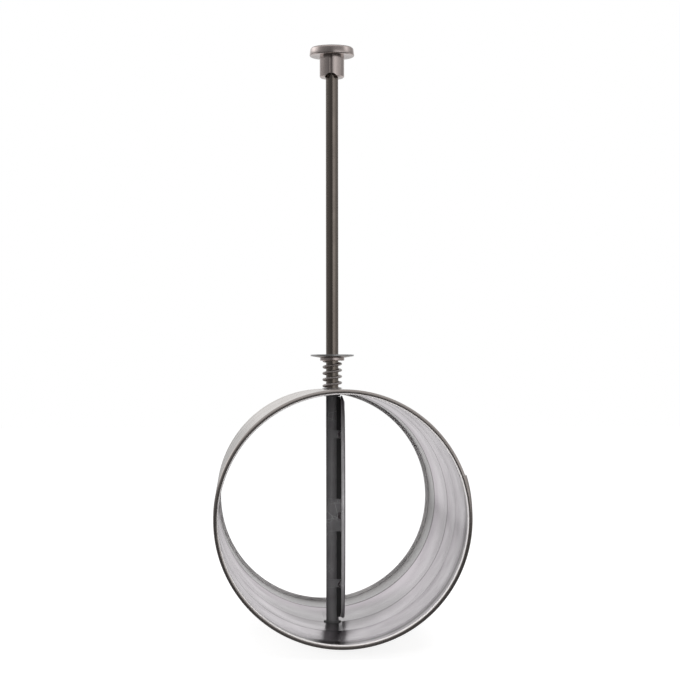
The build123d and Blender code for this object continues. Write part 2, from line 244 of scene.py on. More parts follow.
def map_range(tree, value, low, high, first=0.0, last=1.0, way="LINEAR"):
    """A value taken from the first to the last as it goes from low to high."""
    node = add_node(
        tree,
        "ShaderNodeMapRange",
        interpolation_type=way,
        inputs={"Value": value, "From Min": low, "From Max": high, "To Min": first, "To Max": last},
    )
    return node.outputs["Result"]


def smooth_step(tree, value, low, high, first=0.0, last=1.0):
    """A value taken smoothly from the first to the last as it goes from low to high."""
    return map_range(tree, value, low, high, first, last, "SMOOTHSTEP")


def math(tree, operation, *values):
    """The result of a math node on sockets and numbers."""
    node = add_node(tree, "ShaderNodeMath", operation=operation)
    for index, value in enumerate(values):
        if isinstance(value, bpy.types.NodeSocket):
            tree.links.new(value, node.inputs[index])
        else:
            node.inputs[index].default_value = value
    return node.outputs["Value"]


def make_grain_group():
    """Long fine lines left by rolling, drawing or turning, from coordinates that are stretched along them."""
    tree, start, end = new_group(
        "metal_grain", [("Vector", "NodeSocketVector", None)], [("Height", "NodeSocketFloat")]
    )
    place = start.outputs["Vector"]
    both = add_node(tree, "ShaderNodeMix", data_type="FLOAT")
    both.inputs[0].default_value = 0.45
    tree.links.new(noise(tree, place, 1.0, 5.0), both.inputs[2])
    tree.links.new(noise(tree, place, 3.0, 3.0), both.inputs[3])
    tree.links.new(both.outputs[0], end.inputs["Height"])
    return tree


def make_handling_group():
    """Cloudy marks from handling, as a value between two limits."""
    tree, start, end = new_group(
        "handling_marks",
        [
            ("Vector", "NodeSocketVector", None),
            ("Scale", "NodeSocketFloat", 60.0),
            ("Low", "NodeSocketFloat", 0.2),
            ("High", "NodeSocketFloat", 0.4),
        ],
        [("Value", "NodeSocketFloat"), ("Mask", "NodeSocketFloat")],
    )
    place, scale, low, high = (start.outputs[name] for name in ("Vector", "Scale", "Low", "High"))
    cloud = noise(tree, place, scale, 6.0, Roughness=0.62, Distortion=0.4)
    mask = map_range(tree, cloud, 0.32, 0.68)
    tree.links.new(map_range(tree, mask, 0.0, 1.0, low, high), end.inputs["Value"])
    tree.links.new(mask, end.inputs["Mask"])
    return tree


def make_scratch_group():
    """Sparse thin scratches in two directions, as a mask."""
    tree, start, end = new_group(
        "light_scratches",
        [("Vector", "NodeSocketVector", None), ("Scale", "NodeSocketFloat", 90.0)],
        [("Mask", "NodeSocketFloat")],
    )
    lines = []
    for turn in (0.5, 2.1):
        turned = add_node(tree, "ShaderNodeMapping", inputs={"Vector": start.outputs["Vector"]})
        turned.inputs["Rotation"].default_value = (turn, turn / 2, turn)
        turned.inputs["Scale"].default_value = (1.0, 0.06, 1.0)
        cells = add_node(
            tree,
            "ShaderNodeTexVoronoi",
            feature="DISTANCE_TO_EDGE",
            inputs={"Vector": turned.outputs["Vector"], "Scale": start.outputs["Scale"]},
        )
        lines.append(map_range(tree, cells.outputs["Distance"], 0.0, 0.012, 1.0, 0.0))
    patches = noise(tree, start.outputs["Vector"], 40.0, 2.0)
    where = map_range(tree, patches, 0.52, 0.62)
    kept = math(tree, "MULTIPLY", math(tree, "MAXIMUM", *lines), where)
    tree.links.new(kept, end.inputs["Mask"])
    return tree


def make_dust_group():
    """A thin film of dust on what faces up, laid over a colour."""
    tree, start, end = new_group(
        "settled_dust",
        [
            ("Color", "NodeSocketColor", (0.5, 0.5, 0.5, 1)),
            ("Dust", "NodeSocketColor", (0.35, 0.33, 0.3, 1)),
            ("Amount", "NodeSocketFloat", 0.2),
            ("Vector", "NodeSocketVector", None),
        ],
        [("Color", "NodeSocketColor")],
    )
    normal = add_node(tree, "ShaderNodeNewGeometry").outputs["Normal"]
    height = add_node(tree, "ShaderNodeSeparateXYZ", inputs={"Vector": normal}).outputs["Z"]
    up = map_range(tree, height, 0.35, 1.0)
    cloud = noise(tree, start.outputs["Vector"], 140.0, 5.0)
    mask = math(tree, "MULTIPLY", math(tree, "MULTIPLY", up, cloud), start.outputs["Amount"])
    mixed = mix_colours(tree, mask, start.outputs["Color"], start.outputs["Dust"])
    tree.links.new(mixed, end.inputs["Color"])
    return tree


def make_sleeve_zones_group():
    """Masks for the sleeve's zones of tone, from its own coordinates.

    Outside follows the sheet's own form. The outside's sides, a patch round the shaft's foot, a band ahead of
    the first groove and the part past the last groove get painted shade in place of reflections; the front
    rim gets painted shade;
    the rear bead and the front bead's lip get painted light on a dull finish; the grooves hold grime and
    painted shade.
    All of it stays put under any light.
    """
    names = ("Outside", "Side shade", "Foot shade", "Shade band", "Far shade", "Front rim shade", "Dull rim with painted light", "Groove grime and shade")
    tree, start, end = new_group(
        "sleeve_zones", [("Vector", "NodeSocketVector", None)], [(name, "NodeSocketFloat") for name in names]
    )
    split = add_node(tree, "ShaderNodeSeparateXYZ", inputs={"Vector": start.outputs["Vector"]})
    side, along, height = (split.outputs[name] for name in "XYZ")
    radius = math(tree, "SQRT", sum_of_squares(tree, side, height))
    outside = smooth_step(tree, radius, SLEEVE_RADIUS - SKIN_FADE[0], SLEEVE_RADIUS - SKIN_FADE[1])
    inside = math(tree, "SUBTRACT", 1.0, outside)
    first, last = GROOVES[0][0], GROOVES[-1][0]
    past = smooth_step(tree, along, first - SHADE_BAND_START[0], first - SHADE_BAND_START[1])
    before = smooth_step(tree, along, first - SHADE_BAND_END[0], first - SHADE_BAND_END[1], 1.0, 0.0)
    shade_band = math(tree, "MULTIPLY", inside, math(tree, "MULTIPLY", past, before))
    far = math(tree, "MULTIPLY", inside, smooth_step(tree, along, last - FAR_SHADE_FADE, last + FAR_SHADE_FADE))
    near, deep = RIM_FADE
    front_rim = smooth_step(tree, along, near - HALF_LENGTH, deep - HALF_LENGTH, 1.0, 0.0)
    rear_rim = smooth_step(tree, along, HALF_LENGTH - deep, HALF_LENGTH - near)
    lip = smooth_step(tree, radius, SLEEVE_RADIUS - LIP_FADE[0], SLEEVE_RADIUS - LIP_FADE[1], 1.0, 0.0)
    # the rear bead and the front bead's lip: painted light on a dull finish
    dull = math(tree, "MAXIMUM", rear_rim, math(tree, "MULTIPLY", front_rim, lip))
    side_shade = smooth_step(tree, math(tree, "ABSOLUTE", side), *SIDE_SHADE_FADE)
    side_shade = math(tree, "MULTIPLY", side_shade, outside)
    apart = [
        math(tree, "DIVIDE", math(tree, "SUBTRACT", place, middle), reach)
        for place, middle, reach in zip((side, along), FOOT_SHADE_MIDDLE, FOOT_SHADE_REACH)
    ]
    foot = math(tree, "SQRT", sum_of_squares(tree, *apart))
    foot = smooth_step(tree, foot, *FOOT_SHADE_FADE, FOOT_SHADE_STRENGTH, 0.0)
    foot = math(tree, "MULTIPLY", foot, smooth_step(tree, height, *FOOT_SHADE_LEVEL))
    groove = None
    for place, _depth, _bend, left, right in GROOVES:
        off = math(tree, "ABSOLUTE", math(tree, "SUBTRACT", along, place))
        line = smooth_step(tree, off, GROOVE_CORE, GROOVE_REACH, 1.0, 0.0)
        held = smooth_step(tree, side, *GRIME_AND_SHADE_TURN, left, right)
        grime_and_shade = math(tree, "MULTIPLY", inside, math(tree, "MULTIPLY", line, held))
        groove = math(tree, "MAXIMUM", groove, grime_and_shade) if groove else grime_and_shade
    for name, mask in zip(names, (outside, side_shade, foot, shade_band, far, front_rim, dull, groove)):
        tree.links.new(mask, end.inputs[name])
    return tree


def sum_of_squares(tree, first, second):
    """The squares of two values, added."""
    return math(tree, "ADD", *(math(tree, "MULTIPLY", value, value) for value in (first, second)))


GROUP_MAKERS = {
    "sleeve_zones": make_sleeve_zones_group,
    "metal_grain": make_grain_group,
    "handling_marks": make_handling_group,
    "light_scratches": make_scratch_group,
    "settled_dust": make_dust_group,
}


def place_group(tree, name, **inputs):
    """One of the shared groups placed in a material, made the first time that it is asked for."""
    group = bpy.data.node_groups.get(name) or GROUP_MAKERS[name]()
    node = add_node(tree, "ShaderNodeGroup", node_tree=group)
    for socket, value in inputs.items():
        if isinstance(value, bpy.types.NodeSocket):
            tree.links.new(value, node.inputs[socket])
        else:
            node.inputs[socket].default_value = value
    return node


# ================================================================ materials
def start_material(name):
    """A material with its tree, its shader and its object coordinates."""
    material = bpy.data.materials.new(name)
    material.use_nodes = True
    tree = material.node_tree
    tree.nodes.clear()
    out = tree.nodes.new("ShaderNodeOutputMaterial")
    shader = tree.nodes.new("ShaderNodeBsdfPrincipled")
    tree.links.new(shader.outputs["BSDF"], out.inputs["Surface"])
    place = tree.nodes.new("ShaderNodeTexCoord").outputs["Object"]
    return material, tree, shader, place


def mix_colours(tree, factor, first, second):
    """Two colours mixed by a factor that changes over the surface."""
    mixed = add_node(tree, "ShaderNodeMix", data_type="RGBA")
    for index, value in ((0, factor), (6, first), (7, second)):
        if isinstance(value, bpy.types.NodeSocket):
            tree.links.new(value, mixed.inputs[index])
        else:
            mixed.inputs[index].default_value = value if index == 0 else (*value[:3], 1)
    return mixed.outputs[2]


def shade(colour, factor):
    """A colour made lighter or darker."""
    return tuple(min(1.0, channel * factor) for channel in colour)


def raise_by(tree, shader, height, distance, strength=1.0):
    """Fine relief on a shader from a height."""
    inputs = {"Strength": strength, "Distance": distance, "Height": height}
    bump = add_node(tree, "ShaderNodeBump", inputs=inputs)
    tree.links.new(bump.outputs["Normal"], shader.inputs["Normal"])


def bare_metal(name, colour, stretch, roughness, lines, dust=0.1):
    """Bare metal with fine lines across stretch, cloudy handling marks, scratches and a little dust."""
    material = bpy.data.materials.get(name)
    if material:
        return material
    material, tree, shader, place = start_material(name)
    stretched = add_node(tree, "ShaderNodeMapping", inputs={"Vector": place})
    stretched.inputs["Scale"].default_value = stretch
    grain = place_group(tree, "metal_grain", Vector=stretched.outputs["Vector"]).outputs["Height"]
    marks = place_group(tree, "handling_marks", Vector=place, Scale=70.0, Low=roughness[0], High=roughness[1])
    scratches = place_group(tree, "light_scratches", Vector=place, Scale=110.0).outputs["Mask"]
    cloudy = mix_colours(tree, marks.outputs["Mask"], colour, shade(colour, 0.86))
    lined = mix_colours(tree, grain, shade(colour, 0.9), cloudy)
    dusty = place_group(tree, "settled_dust", Color=lined, Amount=dust, Vector=place)
    tree.links.new(dusty.outputs["Color"], shader.inputs["Base Color"])
    rough = math(tree, "MULTIPLY_ADD", grain, 0.12, marks.outputs["Value"])
    tree.links.new(rough, shader.inputs["Roughness"])
    raise_by(tree, shader, math(tree, "SUBTRACT", grain, scratches), lines)
    shader.inputs["Metallic"].default_value = 1.0
    return material


def coated_metal(name, colour, sheen_rough, worn, metallic=0.0):
    """A thin satin coating with a fine orange peel, rubbed lighter in places."""
    material = bpy.data.materials.get(name)
    if material:
        return material
    material, tree, shader, place = start_material(name)
    low, high = sheen_rough - 0.06, sheen_rough + 0.1
    marks = place_group(tree, "handling_marks", Vector=place, Scale=85.0, Low=low, High=high)
    scratches = place_group(tree, "light_scratches", Vector=place, Scale=120.0)
    cloudy = mix_colours(tree, marks.outputs["Mask"], colour, shade(colour, 1.35))
    rubbed = mix_colours(tree, scratches.outputs["Mask"], cloudy, worn)
    dusty = place_group(tree, "settled_dust", Color=rubbed, Amount=0.25, Vector=place)
    tree.links.new(dusty.outputs["Color"], shader.inputs["Base Color"])
    tree.links.new(marks.outputs["Value"], shader.inputs["Roughness"])
    raise_by(tree, shader, noise(tree, place, 1800.0, 2.0), 0.03 * MM, 0.6)
    shader.inputs["Metallic"].default_value = metallic
    return material


def soft_black(name, colour, roughness, grit):
    """Black rubber or nylon with a fine moulded grain."""
    material = bpy.data.materials.get(name)
    if material:
        return material
    material, tree, shader, place = start_material(name)
    low, high = roughness - 0.1, roughness + 0.08
    marks = place_group(tree, "handling_marks", Vector=place, Scale=120.0, Low=low, High=high)
    cloudy = mix_colours(tree, marks.outputs["Mask"], colour, shade(colour, 1.8))
    dusty = place_group(tree, "settled_dust", Color=cloudy, Amount=0.35, Vector=place)
    tree.links.new(dusty.outputs["Color"], shader.inputs["Base Color"])
    tree.links.new(marks.outputs["Value"], shader.inputs["Roughness"])
    raise_by(tree, shader, noise(tree, place, grit, 4.0), 0.05 * MM, 0.8)
    return material


# tone of each of the sleeve's zones that isn't a setting: painted shade on the outside's sides, round the
# shaft's foot, in a band ahead of the first groove and past the last groove, and painted light on the dull
# rims
SIDE_SHADE_TONE = (0.15, 0.13, 0.115)
FAR_SHADE_TONE = (0.33, 0.32, 0.325)
FOOT_SHADE_TONE = (0.09, 0.083, 0.088)
SHADE_BAND_TONE = (0.15, 0.14, 0.145)
DULL_RIM_PAINTED_LIGHT = (0.72, 0.7, 0.7)


def sleeve_finish():
    """Satin sheet, rolled round the duct's axis, with its zones of tone, painted shade and painted light, and
    mostly non-metallic beads.
    """
    material = bpy.data.materials.get("sleeve_sheet")
    if material:
        return material
    sizes = bpy.context.scene.damper_sleeve
    inside, outside, rim = (tuple(c) for c in (sizes.inside_colour, sizes.outside_colour, sizes.rim_shade_colour))
    material, tree, shader, place = start_material("sleeve_sheet")
    zones = place_group(tree, "sleeve_zones", Vector=place)
    stretched = add_node(tree, "ShaderNodeMapping", inputs={"Vector": place})
    stretched.inputs["Scale"].default_value = (16, 1500, 16)
    grain = place_group(tree, "metal_grain", Vector=stretched.outputs["Vector"]).outputs["Height"]
    marks = place_group(tree, "handling_marks", Vector=place, Scale=38.0, Low=0.15, High=0.23)
    colour = mix_colours(tree, marks.outputs["Mask"], inside, shade(inside, 0.92))
    # painted shade and painted light laid over the sheet's own tone, with grime and painted shade in the
    # grooves
    for zone, tone in (
        ("Outside", outside),
        ("Side shade", SIDE_SHADE_TONE),
        ("Far shade", FAR_SHADE_TONE),
        ("Foot shade", FOOT_SHADE_TONE),
        ("Shade band", SHADE_BAND_TONE),
        # grime and painted shade in the grooves
        ("Groove grime and shade", shade(inside, 0.1)),
        ("Front rim shade", rim),
        ("Dull rim with painted light", DULL_RIM_PAINTED_LIGHT),
    ):
        colour = mix_colours(tree, zones.outputs[zone], colour, tone)
    lined = mix_colours(tree, grain, shade(outside, 0.8), colour)
    toned = mix_colours(tree, 0.75, lined, colour)
    tree.links.new(toned, shader.inputs["Base Color"])
    rough = math(tree, "MULTIPLY_ADD", grain, 0.1, marks.outputs["Value"])
    # the painted rim light is also rougher and mostly non-metallic
    rough = math(tree, "MULTIPLY_ADD", zones.outputs["Dull rim with painted light"], 0.25, rough)
    tree.links.new(rough, shader.inputs["Roughness"])
    raise_by(tree, shader, grain, 0.002 * MM)
    metallic = math(tree, "MULTIPLY_ADD", zones.outputs["Dull rim with painted light"], -0.75, 1.0)
    tree.links.new(metallic, shader.inputs["Metallic"])
    shader.inputs["Anisotropic"].default_value = 0.5
    shader.inputs["Anisotropic Rotation"].default_value = 0.25  # the lines run along the tangent
    tangent = add_node(tree, "ShaderNodeTangent", direction_type="RADIAL", axis="Y")
    tree.links.new(tangent.outputs["Tangent"], shader.inputs["Tangent"])
    return material


def rod_finish():
    """Drawn bar with lines along it."""
    colour = tuple(bpy.context.scene.damper_spindle.rod_colour)
    return bare_metal("drawn_bar", colour, (2600, 2600, 25), (0.1, 0.18), 0.003 * MM)


def knob_finish():
    """Turned steel with lines round it."""
    colour = tuple(bpy.context.scene.damper_spindle.knob_colour)
    return bare_metal("turned_steel", colour, (60, 60, 3200), (0.08, 0.16), 0.004 * MM)


def spring_finish():
    """Drawn wire and stamped spring steel."""
    colour = tuple(bpy.context.scene.damper_spindle.spring_colour)
    return bare_metal("spring_wire", colour, (500, 500, 900), (0.24, 0.4), 0.004 * MM, dust=0.15)


def plate_finish():
    """Bright pressed sheet."""
    return bare_metal("pressed_plate", (0.5, 0.5, 0.5), (300, 300, 300), (0.2, 0.34), 0.004 * MM, dust=0.15)


def coating_finish():
    """Dark grey satin coating on the shaft and its saddles."""
    colour = tuple(bpy.context.scene.damper_spindle.coating_colour)
    return coated_metal("satin_coating", colour, 0.36, shade(colour, 4.0))


def blade_finish():
    """Dull grey sheet of the blade."""
    colour = tuple(bpy.context.scene.damper_blade.colour)
    return coated_metal("blade_coating", colour, 0.42, shade(colour, 2.0), metallic=0.6)


def packing_finish():
    """Black packing rubber."""
    return soft_black("strip_rubber", tuple(bpy.context.scene.damper_blade.packing_colour), 0.75, 900.0)


def nylon_finish():
    """Black nylon of the bushes and the thrust washer."""
    return soft_black("moulded_nylon", (0.05, 0.05, 0.05), 0.5, 1500.0)


def rivet_finish():
    """Dull rivet steel."""
    return bare_metal("rivet_metal", (0.42, 0.4, 0.4), (700, 700, 700), (0.3, 0.46), 0.006 * MM, dust=0.2)


# ================================================================ mesh helpers
def arc(centre, radius, first, last, steps):
    """Points along an arc, with angles in degrees from the first axis towards the second."""
    angles = [radians(first + (last - first) * step / steps) for step in range(steps + 1)]
    return [(centre[0] + radius * cos(angle), centre[1] + radius * sin(angle)) for angle in angles]


def spin_profile(mesh, points, axis, outward, steps, closed=True, turn=FULL_TURN):
    """A profile of (along, outward) points spun about an axis through the origin."""
    verts = [mesh.verts.new(axis * along + outward * out) for along, out in points]
    edges = [mesh.edges.new(pair) for pair in zip(verts, verts[1:])]
    if closed:
        edges.append(mesh.edges.new((verts[-1], verts[0])))
    bmesh.ops.spin(
        mesh,
        geom=verts + edges,
        cent=CENTRE,
        axis=axis,
        dvec=CENTRE,
        angle=turn,
        steps=steps,
        use_merge=turn == FULL_TURN,
        use_duplicate=False,
    )
    bmesh.ops.remove_doubles(mesh, verts=mesh.verts, dist=0.001 * MM)
    bmesh.ops.recalc_face_normals(mesh, faces=mesh.faces)


def add_piece(name, mesh, finish, body, replaces=()):
    """A finished mesh as a piece that rides on a body and stands for CAD nodes."""
    data = bpy.data.meshes.new(name)
    mesh.to_mesh(data)
    mesh.free()
    data.shade_smooth()
    data.set_sharp_from_angle(angle=radians(SHARP_FROM))
    piece = bpy.data.objects.new(name, data)
    bpy.context.scene.collection.objects.link(piece)
    data.materials.append(finish)
    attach(piece, body)
    if replaces:
        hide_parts(*replaces)
    return piece


def dress(nodes, finish):
    """Gives CAD nodes a finish."""
    for name in nodes:
        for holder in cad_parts[name].material_slots:
            holder.material = finish


def cut_with(piece, cutter):
    """Takes one closed mesh away from a piece and keeps the result."""
    modifier = piece.modifiers.new("cut", "BOOLEAN")
    modifier.operation = "DIFFERENCE"
    modifier.solver = "EXACT"
    modifier.object = cutter
    graph = bpy.context.evaluated_depsgraph_get()
    result = bpy.data.meshes.new_from_object(piece.evaluated_get(graph))
    piece.modifiers.clear()
    piece.data = result
    bpy.data.objects.remove(cutter)


# ================================================================ sleeve
GROOVE_STEPS = 6
BEAD_STEPS = 22
HOLE_STEPS = 64
SHARP_FROM = 32  # degrees between faces that stay a sharp edge
LAP_START = 19.5  # degrees above the right-hand side
LAP_END = 5.0
LAP_STEPS = 12
LAP_END_STEPS = 8


def outward(place):
    """The way from the duct's axis to a place, square to the axis."""
    return Vector((place.x, 0, place.z))


def turn_up(place):
    """Degrees of a place above the right-hand side, round the duct's axis."""
    out = outward(place)
    return degrees(asin(out.z / out.length))


def groove_arc(place, radius, bend, depth):
    """The arc of one rolled groove in a face of the sheet, as (along, outward) points."""
    half = degrees(acos((bend - depth) / bend))
    return arc((place, radius + bend - depth), bend, -90 - half, -90 + half, GROOVE_STEPS)


def sheet_face(radius, thicker=0.0):
    """One face of the sheet with its grooves, from the front end to the rear end."""
    points = []
    for place, depth, bend, _left, _right in GROOVES:
        points += groove_arc(place, radius, bend + thicker, depth)
    return points


class DAMPER_OT_sleeve(bpy.types.Operator):
    """Make the rolled sleeve with its beads, grooves, lap and bush holes"""

    bl_idname = "damper.sleeve"
    bl_label = "Sleeve"

    def execute(self, context):
        sizes = context.scene.damper_sleeve
        bead_middle = HALF_LENGTH - sizes.bead
        bead_out = SLEEVE_RADIUS - sizes.bead
        inside = SLEEVE_RADIUS - sizes.wall
        meets = degrees(asin((sizes.bead - sizes.wall) / sizes.bead))
        outer = sheet_face(SLEEVE_RADIUS)
        inner = sheet_face(inside, sizes.wall)
        rear_bead = arc((bead_middle, bead_out), sizes.bead, 90, -180 - meets, BEAD_STEPS)
        front_bead = arc((-bead_middle, bead_out), sizes.bead, meets, -270, BEAD_STEPS)
        profile = outer + rear_bead + inner[::-1] + front_bead
        mesh = bmesh.new()
        start = Matrix.Rotation(-radians(LAP_START), 3, "Y") @ Vector((1, 0, 0))
        spin_profile(mesh, profile, DUCT, start, sizes.steps)
        piece = add_piece("sleeve_sheet", mesh, sleeve_finish(), "duct", ["sleeve"])
        cutter_mesh = bmesh.new()
        bmesh.ops.create_cone(
            cutter_mesh,
            cap_ends=True,
            segments=HOLE_STEPS,
            radius1=sizes.hole,
            radius2=sizes.hole,
            depth=3 * SLEEVE_RADIUS,
        )
        cutter_data = bpy.data.meshes.new("bush_holes")
        cutter_mesh.to_mesh(cutter_data)
        cutter_mesh.free()
        cutter = bpy.data.objects.new("bush_holes", cutter_data)
        context.scene.collection.objects.link(cutter)
        cut_with(piece, cutter)
        piece.data.set_sharp_from_angle(angle=radians(SHARP_FROM))
        self.add_lap(sizes, outer, bead_middle, bead_out, start)
        return {"FINISHED"}

    def add_lap(self, sizes, outer, bead_middle, bead_out, start):
        """The lapped edge of the sheet, which stands proud where it starts and runs out to nothing."""
        front = arc((-bead_middle, bead_out), sizes.bead, 180, 90, LAP_END_STEPS)
        rear = arc((bead_middle, bead_out), sizes.bead, 90, 0, LAP_END_STEPS)
        mesh = bmesh.new()
        turn = radians(LAP_START - LAP_END)
        spin_profile(mesh, front + outer + rear, DUCT, start, LAP_STEPS, closed=False, turn=turn)
        for vert in mesh.verts:
            out = outward(vert.co)
            rise = sizes.lap * (turn_up(vert.co) - LAP_END) / (LAP_START - LAP_END)
            facing = max(0.0, min(1.0, (out.length - bead_out) / (SLEEVE_RADIUS - bead_out)))
            vert.co += out.normalized() * rise * facing
        proud = LAP_START - 0.01
        edge = [e for e in mesh.edges if e.is_boundary and all(turn_up(v.co) > proud for v in e.verts)]
        made = bmesh.ops.extrude_edge_only(mesh, edges=edge)["geom"]
        for vert in [item for item in made if isinstance(item, bmesh.types.BMVert)]:
            vert.co -= outward(vert.co).normalized() * sizes.lap
        bmesh.ops.recalc_face_normals(mesh, faces=mesh.faces)
        add_piece("sleeve_lap", mesh, sleeve_finish(), "duct")


class DAMPER_OT_bushes(bpy.types.Operator):
    """Dress the two nylon bushes and the thrust washer"""

    bl_idname = "damper.bushes"
    bl_label = "Bushes"

    def execute(self, context):
        dress(["top_bush", "bottom_bush", "thrust_washer"], nylon_finish())
        return {"FINISHED"}


# ================================================================ spring and spindle
WIRE_STEPS = 16
COIL_STEPS = 56
SPRING_OVERRUN = 0.35  # turns cut away by each ground end


class DAMPER_OT_spring(bpy.types.Operator):
    """Make the round wire spring with its ground ends"""

    bl_idname = "damper.spring"
    bl_label = "Spring"

    def execute(self, context):
        sizes = context.scene.damper_spindle
        height = SPRING_HIGH.z - SPRING_LOW.z
        overrun = SPRING_OVERRUN * sizes.pitch
        turns = (height + 2 * overrun - 2 * sizes.wire) / sizes.pitch
        first = SPRING_LOW.z - overrun + sizes.wire
        mesh = bmesh.new()
        ring = bmesh.ops.create_circle(mesh, segments=WIRE_STEPS, radius=sizes.wire)["verts"]
        upright = Matrix.Rotation(pi / 2, 4, "X")
        place = Matrix.Translation(Vector((sizes.coil, 0, first))) @ upright
        bmesh.ops.transform(mesh, matrix=place, verts=ring)
        steps = int(turns * COIL_STEPS)
        bmesh.ops.spin(
            mesh,
            geom=ring + list(mesh.edges),
            cent=CENTRE,
            axis=UP,
            dvec=UP * sizes.pitch * turns / steps,
            angle=FULL_TURN * turns,
            steps=steps,
            use_duplicate=False,
        )
        for level, way in ((SPRING_LOW.z, -UP), (SPRING_HIGH.z, UP)):
            cut = bmesh.ops.bisect_plane(
                mesh,
                geom=list(mesh.verts) + list(mesh.edges) + list(mesh.faces),
                plane_co=UP * level,
                plane_no=way,
                clear_outer=True,
            )
            rim = [item for item in cut["geom_cut"] if isinstance(item, bmesh.types.BMEdge)]
            bmesh.ops.contextual_create(mesh, geom=rim)
        bmesh.ops.recalc_face_normals(mesh, faces=mesh.faces)
        piece = add_piece("spring_coil", mesh, spring_finish(), "spring_seat", ["spring"])
        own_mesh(piece)
        dress(["seat_washer"], spring_finish())
        return {"FINISHED"}


class DAMPER_OT_spindle(bpy.types.Operator):
    """Dress the rod, the coated shaft and the retainer below"""

    bl_idname = "damper.spindle"
    bl_label = "Spindle"

    def execute(self, context):
        dress(["rod"], rod_finish())
        dress(["blade_shaft"], coating_finish())
        dress(["bottom_washer", "bottom_clip"], spring_finish())
        return {"FINISHED"}


class DAMPER_OT_spring_stop(bpy.types.Operator):
    """Dress the collar, its dished plate and its pin"""

    bl_idname = "damper.spring_stop"
    bl_label = "Spring stop"

    def execute(self, context):
        dress(["spring_collar"], knob_finish())
        dress(["spring_plate"], plate_finish())
        dress(["cross_pin"], spring_finish())
        return {"FINISHED"}


KNOB_STEPS = 96
CROWN_START = 0.4  # degrees from the axis to the crown's first ring


class DAMPER_OT_knob(bpy.types.Operator):
    """Make the turned knob's cap and dress its hub"""

    bl_idname = "damper.knob"
    bl_label = "Knob"

    def execute(self, context):
        sizes = context.scene.damper_spindle
        radius = CAP_HIGH.x
        top = CAP_HIGH.z - sizes.crown
        low = CAP_LOW.z
        crown_bend = (radius**2 + sizes.crown**2) / (2 * sizes.crown)
        crown_half = degrees(asin((radius - sizes.top_round) / crown_bend))
        crown = arc((CAP_HIGH.z - crown_bend, 0), crown_bend, CROWN_START, crown_half, 10)
        edge = arc((top - sizes.top_round, radius - sizes.draft - sizes.top_round), sizes.top_round, 0, 90, 8)
        rim = arc((low + sizes.rim_round, radius - sizes.rim_round), sizes.rim_round, 90, 180, 6)
        profile = [(CAP_HIGH.z, 0)] + crown + edge[1:] + rim + [(low, 0)]
        mesh = bmesh.new()
        spin_profile(mesh, profile, UP, ACROSS_BLADE, KNOB_STEPS, closed=False)
        add_piece("knob_disc", mesh, knob_finish(), "spindle", ["knob_cap"])
        dress(["knob_hub"], knob_finish())
        dress(["knob_grub"], spring_finish())
        return {"FINISHED"}


# ================================================================ blade
BEVEL_HEIGHT = 4.0 * MM
BEVEL_DEPTH = 1.5 * MM
BLADE_STEPS = 200
ROLLED_EDGE_STEPS = 24
PRESSING_STEPS = 12


class DAMPER_OT_blade(bpy.types.Operator):
    """Make the pressed blade with its rolled edge and dress its packing strip"""

    bl_idname = "damper.blade"
    bl_label = "Blade"

    def execute(self, context):
        sizes = context.scene.damper_blade
        radius = max(BLADE_HIGH.z, -BLADE_LOW.z)
        half = sizes.sheet / 2
        ring = radius - sizes.ring_inset
        meets = degrees(asin(half / sizes.bead))
        front = [(sizes.offset - half, 0), *self.pressing(sizes, ring, -half)]
        back = [*self.pressing(sizes, ring, half)[::-1], (sizes.offset + half, 0)]
        middle = (sizes.offset, radius - sizes.bead)
        edge = arc(middle, sizes.bead, 270 - meets, -90 + meets, ROLLED_EDGE_STEPS)
        mesh = bmesh.new()
        spin_profile(mesh, front + edge + back, ACROSS_BLADE, UP, BLADE_STEPS, closed=False)
        self.clip_corner(mesh, sizes, radius)
        add_piece("blade_disc", mesh, blade_finish(), "spindle", ["blade"])
        dress(["packing_strip"], packing_finish())
        return {"FINISHED"}

    def pressing(self, sizes, ring, side):
        """The pressed ring's section on one side of the sheet, as a soft wave."""
        points = []
        for step in range(PRESSING_STEPS + 1):
            share = step / (PRESSING_STEPS / 2) - 1
            rise = sizes.ring_depth * (1 + cos(pi * share)) / 2
            points.append((sizes.offset + side + rise, ring + sizes.ring_width * share))
        return points

    def clip_corner(self, mesh, sizes, radius):
        """Cuts the bevel on the top of the rolled edge, on the side away from the shaft."""
        edge = sizes.offset + sizes.bead
        normal = (ACROSS_BLADE * BEVEL_HEIGHT + UP * BEVEL_DEPTH).normalized()
        cut = bmesh.ops.bisect_plane(
            mesh,
            geom=list(mesh.verts) + list(mesh.edges) + list(mesh.faces),
            plane_co=ACROSS_BLADE * edge + UP * (radius - BEVEL_HEIGHT),
            plane_no=normal,
            clear_outer=True,
        )
        rim = [item for item in cut["geom_cut"] if isinstance(item, bmesh.types.BMEdge)]
        bmesh.ops.holes_fill(mesh, edges=rim)
        bmesh.ops.recalc_face_normals(mesh, faces=mesh.faces)


class DAMPER_OT_saddles(bpy.types.Operator):
    """Dress the saddles and their rivets"""

    bl_idname = "damper.saddles"
    bl_label = "Saddles"

    def execute(self, context):
        dress(["upper_saddle", "centre_saddle", "lower_saddle"], coating_finish())
        dress(["saddle_rivets"], rivet_finish())
        return {"FINISHED"}


# ================================================================ stage
CAMERA_PLACE = Vector((-62.55, -1222.05, 76.80)) * MM
CAMERA_YAW = radians(3.164)
CAMERA_PITCH = radians(1.087)
CAMERA_ROLL = radians(-0.058)
CAMERA_LENS = 98.07
CAMERA_SENSOR = 36
CAMERA_REACH = 20
FLOOR_DROP = 1 * MM


def light_path_any(tree, *kinds):
    """One where a ray is of any of the kinds."""
    path = tree.nodes.new("ShaderNodeLightPath")
    total = path.outputs[kinds[0]]
    for kind in kinds[1:]:
        total = math(tree, "MAXIMUM", total, path.outputs[kind])
    return total


